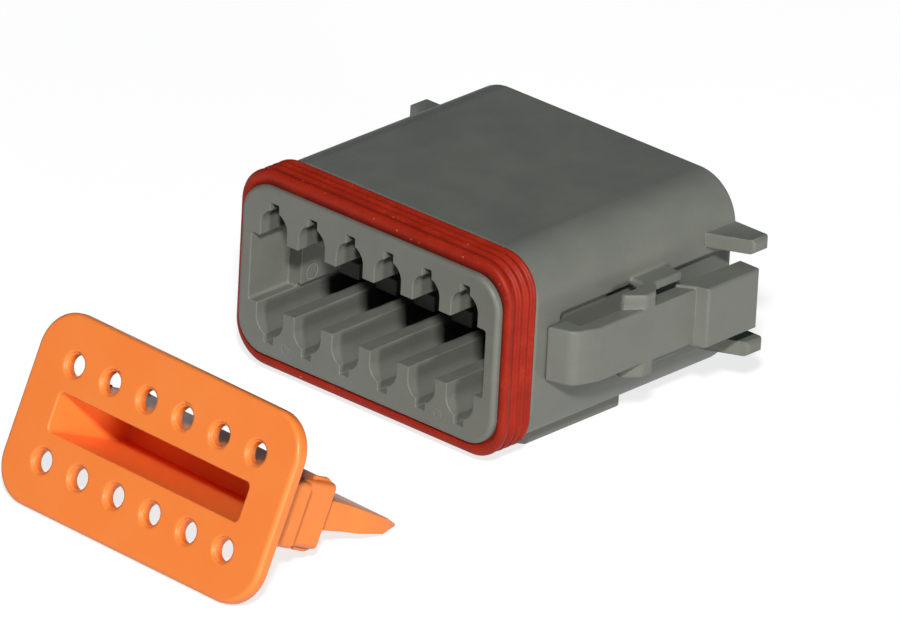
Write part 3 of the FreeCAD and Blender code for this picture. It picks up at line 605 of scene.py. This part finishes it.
def new_piece(name: str, mesh: bmesh.types.BMesh,
              finish: bpy.types.Material) -> bpy.types.Object:
    """Makes an object of a finished bmesh.

    Args:
        name: the piece's name.
        mesh: its shape in the model's frame, in metres; it is freed.
        finish: its material.
    Returns:
        The object, at the origin.
    """
    bmesh.ops.recalc_face_normals(mesh, faces=mesh.faces[:])
    data = bpy.data.meshes.new(name)
    mesh.to_mesh(data)
    mesh.free()
    data.polygons.foreach_set("use_smooth", [True] * len(data.polygons))
    data.materials.append(finish)
    piece = bpy.data.objects.new(name, data)
    bpy.context.scene.collection.objects.link(piece)
    return piece


@dataclass(frozen=True)
class EdgeRule:
    """A radius for the edges within some ranges; side and level go without a sign."""

    radius: float
    side: Range = (0.0, NO_LIMIT)
    along: Range = (-NO_LIMIT, NO_LIMIT)
    level: Range = (0.0, NO_LIMIT)
    turn: Range = (0.0, NO_LIMIT)
    length: Range = (0.0, NO_LIMIT)

    def holds(self, edge: bmesh.types.BMEdge) -> bool:
        """Compares an edge with the ranges.

        Args:
            edge: an edge of the shape.
        Returns:
            Whether its middle, its angle and its length lie within all of them.
        """
        middle = (edge.verts[0].co + edge.verts[1].co) / (2 * MM)
        measures = (abs(middle.x), middle.y, abs(middle.z),
                    math.degrees(edge.calc_face_angle(0.0)), edge.calc_length() / MM)
        ranges = (self.side, self.along, self.level, self.turn, self.length)
        return all(low <= measure < high for measure, (low, high) in zip(measures, ranges))


@dataclass(frozen=True)
class MouldedShape:
    """A CAD node whose edges are rounded as a mould rounds them.

    An edge that turns by more than sharp_angle gets the radius of the first rule that
    holds for it, or else the general one.  The radius is held back beside narrow faces,
    and weakened where the rounding would still leave the surface.
    """

    node: str
    body: Body
    slot: str
    radius: float
    rules: tuple[EdgeRule, ...] = ()
    reshape: Callable[[bmesh.types.BMesh], None] | None = None
    least_turn: float = -0.3
    merge_reach: float = 0.001
    flat_angle: float = 0.5
    sharp_angle: float = 28.0
    straight: float = 160.0
    share_of_room: float = 0.42
    least_radius: float = 0.02
    steps: int = 3
    furthest: float = 0.35
    calming_reach: float = 0.3
    calming_share: float = 0.4
    calming_rounds: int = 6

    @property
    def widest(self) -> float:
        """Returns: the largest radius on the shape."""
        return max([self.radius] + [rule.radius for rule in self.rules])

    def wanted(self, edge: bmesh.types.BMEdge) -> float:
        """Args: edge: an edge. Returns: the radius of the first rule for it."""
        return next((rule.radius for rule in self.rules if rule.holds(edge)), self.radius)

    def room(self, edge: bmesh.types.BMEdge) -> float:
        """Measures how much place there is beside an edge.

        Args:
            edge: an edge between two faces.
        Returns:
            The least reach, square to it, of the edges that start at its ends.
        """
        least = math.inf
        for vert in edge.verts:
            along = edge.other_vert(vert).co - vert.co
            for other in vert.link_edges:
                across = other.other_vert(vert).co - vert.co
                if other != edge and math.degrees(along.angle(across)) < self.straight:
                    least = min(least, across.length * math.sin(along.angle(across)))
        return least / MM

    def merged_copy(self) -> bmesh.types.BMesh:
        """Copies the node's mesh, merges its corners, joins its flat faces and reshapes it.

        Returns:
            The copy.
        """
        mesh = bmesh.new()
        mesh.from_mesh(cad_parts[self.node].data)
        bmesh.ops.remove_doubles(mesh, verts=mesh.verts[:], dist=self.merge_reach * MM)
        bmesh.ops.dissolve_limit(
            mesh, angle_limit=math.radians(self.flat_angle), use_dissolve_boundaries=False,
            verts=mesh.verts[:], edges=mesh.edges[:], delimit={"NORMAL"})
        if self.reshape is not None:
            self.reshape(mesh)
            mesh.normal_update()
        return mesh

    def weigh(self, mesh: bmesh.types.BMesh) -> None:
        """Gives each sharp edge its share of the widest radius.

        Args:
            mesh: the merged copy.
        """
        weight = mesh.edges.layers.float.new(WEIGHT_LAYER)
        for edge in mesh.edges:
            if math.degrees(edge.calc_face_angle(0.0)) > self.sharp_angle:
                radius = min(self.wanted(edge), self.share_of_room * self.room(edge))
                edge.smooth = radius >= self.least_radius
                edge[weight] = radius / self.widest if edge.smooth else 0.0

    def strays(self, rounded: bpy.types.Mesh, surface: BVHTree) -> dict[int, list[Vector]]:
        """Finds the faces that the rounding turns over or throws off the surface.

        Args:
            rounded: the rounded mesh.
            surface: the surface that it comes from.
        Returns:
            The corners at fault, by the face's index.
        """
        limit = self.furthest * MM
        found: dict[int, list[Vector]] = {}
        for face in rounded.polygons:
            corners = [rounded.vertices[index].co.copy() for index in face.vertices]
            middles = [(a + b) / 2 for a, b in zip(corners, corners[1:] + corners[:1])]
            turn = face.normal.dot(surface.find_nearest(face.center)[1])
            if turn < self.least_turn or any(
                    surface.find_nearest(spot)[3] > limit for spot in corners + middles):
                found[face.index] = corners
        rounded.calc_loop_triangles()
        for part in rounded.loop_triangles:
            corners = [rounded.vertices[index].co.copy() for index in part.vertices]
            if surface.find_nearest(sum(corners, Vector()) / len(corners))[3] > limit:
                found.setdefault(part.polygon_index, []).extend(corners)
        return found

    def calm(self, piece: bpy.types.Object, surface: BVHTree) -> int:
        """Weakens the rounding around each stray face.

        Args:
            piece: the piece with its rounding.
            surface: the surface that it comes from.
        Returns:
            How many faces the last look found astray, before it weakened them.
        """
        weights = piece.data.attributes[WEIGHT_LAYER].data
        points = [vert.co.copy() for vert in piece.data.vertices]
        reach = self.calming_reach * MM
        found: dict[int, list[Vector]] = {}
        for _ in range(self.calming_rounds):
            held = piece.evaluated_get(bpy.context.evaluated_depsgraph_get())
            found = self.strays(held.to_mesh(), surface)
            held.to_mesh_clear()
            if not found:
                break
            spots = [spot for corners in found.values() for spot in corners]
            touched = {index for index, point in enumerate(points)
                       if any((point - spot).length < reach for spot in spots)}
            for edge in piece.data.edges:
                if touched.intersection(edge.vertices):
                    weights[edge.index].value *= self.calming_share
            piece.data.update()
        return len(found)

    def build(self, finish: bpy.types.Material) -> bpy.types.Object:
        """Rounds the edges of a copy of the node, which then stands for it.

        Args:
            finish: its material.
        Returns:
            The piece.
        """
        mesh = self.merged_copy()
        self.weigh(mesh)
        surface = BVHTree.FromBMesh(mesh)
        piece = new_piece(self.node + "_moulded", mesh, finish)
        rounded = piece.modifiers.new("rounded", "BEVEL")
        rounded.width = self.widest * MM
        rounded.segments = self.steps
        rounded.limit_method = "WEIGHT"
        rounded.use_clamp_overlap = False
        rounded.miter_outer = "MITER_ARC"
        log.info("%s had %d faces astray", piece.name, self.calm(piece, surface))
        flat = piece.modifiers.new("flat", "WEIGHTED_NORMAL")
        flat.keep_sharp = True
        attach(piece, self.body.value)
        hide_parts(self.node)
        return piece


@dataclass
class PlugBody:
    """The moulded housing and its two latches, with the edges that stay crisp."""

    housing_round: float = 0.24
    latch_round: float = 0.216
    wire_rim: EdgeRule = EdgeRule(0.0, along=(28.35, NO_LIMIT))
    contact_wall: EdgeRule = EdgeRule(0.0, along=(19.05, 19.15))
    mouth: EdgeRule = EdgeRule(
        0.09, side=(0.0, 13.0), along=(-NO_LIMIT, 19.5), level=(0.0, 6.6))
    brackets: EdgeRule = EdgeRule(0.0, side=(15.0, NO_LIMIT), level=(2.905, 3.005))
    chamber: EdgeRule = EdgeRule(0.09, side=(0.0, 13.0), along=(19.5, NO_LIMIT))
    recess: EdgeRule = EdgeRule(
        0.0, side=(13.2, 15.6), along=(21.5, NO_LIMIT), level=(0.0, 5.2))
    web_ends: EdgeRule = EdgeRule(0.0, along=(-NO_LIMIT, 18.9), level=(2.905, 3.005))
    pad_step: EdgeRule = EdgeRule(0.05, along=(18.9, 20.6))
    web_end: float = 2.93
    web_slack: float = 0.004
    web_gap: float = 0.045

    def close_web(self, mesh: bmesh.types.BMesh) -> None:
        """Draws a latch's web out until it meets its brackets.

        Args:
            mesh: the latch.
        """
        for vert in mesh.verts:
            if abs(abs(vert.co.z) - self.web_end * MM) < self.web_slack * MM:
                vert.co.z = math.copysign((self.web_end + self.web_gap) * MM, vert.co.z)

    def build(self, finish: bpy.types.Material) -> list[bpy.types.Object]:
        """Builds the housing and the latches.

        Args:
            finish: the grey plastic.
        Returns:
            The three pieces.
        """
        housing = MouldedShape(
            "plug_housing", Body.PLUG, "housing", self.housing_round,
            (self.wire_rim, self.contact_wall, self.mouth, self.brackets, self.chamber,
             self.recess))
        latches = [
            MouldedShape(body.value, body, "housing", self.latch_round,
                         (self.web_ends, self.pad_step), self.close_web)
            for body in (Body.LATCH_RIGHT, Body.LATCH_LEFT)]
        return [shape.build(finish) for shape in (housing, *latches)]


@dataclass
class InterfaceSeal:
    """The red ring round the nose: a wide front band and ribs with soft crests.

    A profile gives places along Y from its start, and depths under the crest.
    """

    crest_width: float = 29.58
    crest_height: float = 17.26
    crest_corner: float = 3.4
    bore_width: float = 28.20
    bore_height: float = 14.88
    bore_corner: float = 2.82
    front: float = 0.58
    back: float = 3.96
    band_front: Profile = ((0.0, 0.42), (0.03, 0.27), (0.12, 0.11), (0.26, 0.02), (0.42, 0.0))
    band_end: float = 1.43
    band_back: Profile = ((-0.22, 0.015), (-0.09, 0.07), (0.0, 0.2), (0.05, 0.30))
    rib_starts: tuple[float, ...] = (1.80, 2.63, 3.46)
    rib: Profile = ((0.0, 0.28), (0.05, 0.15), (0.14, 0.03), (0.25, 0.0), (0.36, 0.03),
                    (0.45, 0.15), (0.5, 0.28))
    corner_steps: int = 12

    def stations(self) -> list[tuple[float, float]]:
        """Puts the profiles one behind the other.

        Returns:
            (place along Y, depth under the crest) of each ring, front to back.
        """
        runs = [(self.front, self.band_front), (self.band_end, self.band_back)]
        runs += [(start, self.rib) for start in self.rib_starts]
        return [(start + along, depth) for start, profile in runs for along, depth in profile]

    def ring(self, mesh: bmesh.types.BMesh, place: float, width: float, height: float,
             corner: float) -> list[bmesh.types.BMEdge]:
        """Adds a rounded rectangle of edges across Y.

        Args:
            mesh: the mesh that it is added to.
            place: its place along Y.
            width: its size along X.
            height: its size along Z.
            corner: its corner radius.
        Returns:
            Its edges.
        """
        turn = Matrix.Rotation(math.pi / 2, 4, "X")
        pose = Matrix.Translation((0.0, place * MM, 0.0)) @ turn
        size = Matrix.Diagonal((width * MM / 2, height * MM / 2, 1.0, 1.0))
        corners = bmesh.ops.create_grid(mesh, x_segments=1, y_segments=1, size=1.0,
                                        matrix=pose @ size)["verts"]
        rounded = bmesh.ops.bevel(
            mesh, geom=corners, offset=corner * MM, offset_type="OFFSET",
            segments=self.corner_steps, profile=0.5, affect="VERTICES", material=-1)
        edges = dict.fromkeys(edge for vert in rounded["verts"] for edge in vert.link_edges)
        faces = dict.fromkeys(face for edge in edges for face in edge.link_faces)
        bmesh.ops.delete(mesh, geom=list(faces), context="FACES_ONLY")
        return list(edges)

    def build(self, finish: bpy.types.Material) -> bpy.types.Object:
        """Bridges the rings into a closed tube.

        Args:
            finish: the red silicone.
        Returns:
            The seal.
        """
        mesh = bmesh.new()
        rings = [self.ring(mesh, place, self.crest_width - 2 * inset,
                           self.crest_height - 2 * inset, self.crest_corner - inset)
                 for place, inset in self.stations()]
        rings += [self.ring(mesh, place, self.bore_width, self.bore_height, self.bore_corner)
                  for place in (self.back, self.front)]
        for first, second in zip(rings, rings[1:] + rings[:1]):
            bmesh.ops.bridge_loops(mesh, edges=first + second)
        seal = new_piece("interface_seal_ring", mesh, finish)
        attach(seal, Body.PLUG.value)
        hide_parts("interface_seal")
        return seal


@dataclass
class WireSeal:
    """The ribbed block at the wire side, with a raised lip round each wire hole.

    The lip's profile gives places out from the hole's edge, and heights over the block.
    """

    edge_round: float = 0.16
    pitch: float = 4.19
    row_height: float = 4.065
    holes_per_row: int = 6
    rear: float = 27.60
    hole_radius: float = 0.95
    lip: Profile = ((0.0, -0.35), (0.0, 0.12), (0.10, 0.30), (0.24, 0.38), (0.38, 0.36),
                    (0.50, 0.18), (0.62, -0.02))
    turns: int = 28

    def add_lip(self, mesh: bmesh.types.BMesh, across: float, level: float) -> None:
        """Spins one lip.

        Args:
            mesh: the mesh that it is added to.
            across: the hole's place along X.
            level: its place along Z.
        """
        points = [mesh.verts.new(((across + self.hole_radius + out) * MM,
                                  (self.rear + rise) * MM, level * MM))
                  for out, rise in self.lip]
        edges = [mesh.edges.new(pair) for pair in zip(points, points[1:])]
        bmesh.ops.spin(mesh, geom=points + edges, cent=(across * MM, 0.0, level * MM),
                       axis=(0.0, 1.0, 0.0), dvec=(0.0, 0.0, 0.0), angle=2 * math.pi,
                       steps=self.turns, use_merge=True, use_duplicate=False)

    def lips(self, finish: bpy.types.Material) -> bpy.types.Object:
        """Puts a lip round every wire hole.

        Args:
            finish: the red silicone.
        Returns:
            The lips, as one piece.
        """
        mesh = bmesh.new()
        for level in (-self.row_height, self.row_height):
            for index in range(self.holes_per_row):
                self.add_lip(mesh, (index - (self.holes_per_row - 1) / 2) * self.pitch, level)
        lips = new_piece("wire_seal_lips", mesh, finish)
        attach(lips, Body.PLUG.value)
        return lips

    def build(self, finish: bpy.types.Material) -> list[bpy.types.Object]:
        """Builds the seal.

        Args:
            finish: the red silicone.
        Returns:
            The block and its lips.
        """
        block = MouldedShape("wire_seal", Body.PLUG, "seal", self.edge_round,
                             least_turn=ANY_TURN)
        return [block.build(finish), self.lips(finish)]


@dataclass
class WedgeLock:
    """The orange wedge lock, lying in front of the plug."""

    edge_round: float = 0.15
    funnel_edges: EdgeRule = EdgeRule(0.30, turn=(0.0, 50.0), length=(0.0, 0.35))
    front_lean: float = -0.8
    funnel_slack: float = 0.02
    funnel_area: float = 2.0
    funnel_reach: float = 2.0
    funnel_cut: float = 0.27

    def funnels(self, mesh: bmesh.types.BMesh,
                outward: Vector) -> list[list[bmesh.types.BMVert]]:
        """Gathers the faces at 45 degrees to the plate into rings.

        Args:
            mesh: the lock.
            outward: the direction that the plate faces.
        Returns:
            The corners of each ring; the plate's own edge is one of them.
        """
        mesh.verts.index_update()
        slanted = {face for face in mesh.faces
                   if abs(face.normal.dot(outward) - math.sqrt(0.5)) < self.funnel_slack
                   and face.calc_area() < self.funnel_area * MM * MM}
        rings = []
        while slanted:
            ring, queue = set(), [slanted.pop()]
            while queue:
                face = queue.pop()
                ring.add(face)
                beside = {other for edge in face.edges for other in edge.link_faces} & slanted
                slanted -= beside
                queue += beside
            corners = {vert for face in ring for vert in face.verts}
            rings.append(sorted(corners, key=lambda vert: vert.index))
        return rings

    def ease_funnels(self, mesh: bmesh.types.BMesh) -> None:
        """Narrows the pin holes' lead-ins, ready to be rounded.

        Args:
            mesh: the lock.
        """
        facing = [face for face in mesh.faces if face.normal.y < self.front_lean]
        outward = max(facing, key=lambda face: face.calc_area()).normal.copy()
        for verts in self.funnels(mesh, outward):
            centre = sum((vert.co for vert in verts), Vector()) / len(verts)
            if max((vert.co - centre).length for vert in verts) > self.funnel_reach * MM:
                continue
            for vert in verts:
                away = vert.co - centre
                height = away.dot(outward)
                if height > 0:
                    vert.co -= (away - height * outward).normalized() * self.funnel_cut * MM
                else:
                    vert.co += outward * self.funnel_cut * MM

    def build(self, finish: bpy.types.Material) -> bpy.types.Object:
        """Builds the lock.

        Args:
            finish: the orange plastic.
        Returns:
            The piece.
        """
        shape = MouldedShape("wedge_lock", Body.WEDGE_LOCK, "wedge", self.edge_round,
                             (self.funnel_edges,), self.ease_funnels, least_turn=ANY_TURN)
        return shape.build(finish)


@dataclass
class Softbox:
    """A square lamp that looks at the middle of the object.

    The size and the distance are in metres, and the level is what reaches the object.
    """

    name: str
    azimuth: float
    elevation: float
    level: float
    size: float
    colour: Colour
    distance: float = 1.25

    def place(self, target: Vector) -> None:
        """Hangs the lamp.

        Args:
            target: the point that it looks at, in metres.
        """
        turn, lift = math.radians(self.azimuth), math.radians(self.elevation)
        toward = Vector((math.sin(turn) * math.cos(lift), -math.cos(turn) * math.cos(lift),
                         math.sin(lift)))
        light = bpy.data.lights.new(self.name, "AREA")
        light.shape = "SQUARE"
        light.size = self.size
        light.color = self.colour
        light.energy = self.level * math.pi ** 2 * self.distance ** 2
        lamp = bpy.data.objects.new(self.name, light)
        lamp.location = target + toward * self.distance
        lamp.rotation_euler = toward.to_track_quat("Z", "Y").to_euler()
        bpy.context.scene.collection.objects.link(lamp)


@dataclass
class Studio:
    """Paper floor, softboxes and ambient light; the floor's half size is in metres."""

    floor_half: float = 3.0
    floor_gap: float = 0.02
    ambient: Colour = (0.35, 0.72, 1.0)
    ambient_level: float = 0.055
    target: Place = (3.0, -3.0, 0.0)
    softboxes: list[Softbox] = field(default_factory=lambda: [
        Softbox("key", azimuth=41.0, elevation=36.0, level=0.94, size=0.09,
                colour=(1.0, 0.985, 0.94)),
        Softbox("fill", azimuth=70.0, elevation=4.0, level=0.36, size=0.16,
                colour=(1.0, 0.99, 0.95)),
    ])

    def floor(self) -> bpy.types.Object:
        """Lays the paper a little under the object.

        Returns:
            The floor.
        """
        low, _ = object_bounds()
        pose = Matrix.Translation((0.0, 0.0, low[2] - self.floor_gap * MM))
        mesh = bmesh.new()
        bmesh.ops.create_grid(mesh, x_segments=1, y_segments=1, size=self.floor_half,
                              matrix=pose)
        floor = new_piece("floor", mesh, StudioPaper().make())
        floor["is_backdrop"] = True
        return floor

    def light(self) -> None:
        """Places the softboxes and sets the ambient light."""
        for box in self.softboxes:
            box.place(Vector(self.target) * MM)
        world = bpy.data.worlds.new("studio")
        world.use_nodes = True
        background = world.node_tree.nodes["Background"]
        background.inputs["Color"].default_value = (*self.ambient, 1.0)
        background.inputs["Strength"].default_value = self.ambient_level
        bpy.context.scene.world = world
        bpy.context.scene.view_settings.view_transform = "Standard"

    def build(self) -> bpy.types.Object:
        """Returns: the floor, once the lamps stand."""
        self.light()
        return self.floor()


@dataclass
class Viewpoint:
    """The camera: far away with a long lens, as the picture was taken.

    The offset is in units of the contact pitch, and the clipping range in metres.
    """

    azimuth: float = 41.317
    elevation: float = 24.403
    roll: float = 3.093
    unit: float = 4.19
    offset: Place = (-1.616, -0.130, 288.411)
    focal_pixels: float = 15000.0
    frame_pixels: float = 900.0
    sensor: float = 36.0
    clipping: Range = (0.01, 20.0)

    def pose(self) -> Matrix:
        """Works the camera's place out from its angles.

        Returns:
            Where it stands and how it is turned.
        """
        turn, lift, tilt = map(math.radians, (self.azimuth, self.elevation, self.roll))
        forward = Vector((-math.sin(turn) * math.cos(lift), math.cos(turn) * math.cos(lift),
                          -math.sin(lift)))
        level = Vector((math.cos(turn), math.sin(turn), 0.0))
        plumb = forward.cross(level)
        right = level * math.cos(tilt) - plumb * math.sin(tilt)
        down = level * math.sin(tilt) + plumb * math.cos(tilt)
        spot = -(right * self.offset[0] + down * self.offset[1] + forward * self.offset[2])
        pose = Matrix((right, -down, -forward)).transposed().to_4x4()
        pose.translation = spot * self.unit * MM
        return pose

    def place(self) -> bpy.types.Object:
        """Makes the scene's camera.

        Returns:
            The camera.
        """
        data = bpy.data.cameras.new("camera")
        data.sensor_fit = "HORIZONTAL"
        data.sensor_width = self.sensor
        data.lens = self.focal_pixels / self.frame_pixels * self.sensor
        data.clip_start, data.clip_end = self.clipping
        camera = bpy.data.objects.new("camera", data)
        camera.matrix_world = self.pose()
        bpy.context.scene.collection.objects.link(camera)
        bpy.context.scene.camera = camera
        return camera


def main() -> None:
    """Builds the sub-assemblies in order and reports each piece."""
    logging.basicConfig(level=logging.INFO)
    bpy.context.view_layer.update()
    grey, orange, red = GREY_PLASTIC.make(), ORANGE_PLASTIC.make(), RED_SILICONE.make()
    pieces = [*PlugBody().build(grey), InterfaceSeal().build(red), *WireSeal().build(red),
              WedgeLock().build(orange)]
    for piece in pieces:
        log.info("%s has %d faces", piece.name, len(piece.data.polygons))
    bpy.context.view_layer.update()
    floor, camera = Studio().build(), Viewpoint().place()
    log.info("%s and %s are in place", floor.name, camera.name)


if __name__ == "__main__":
    main()
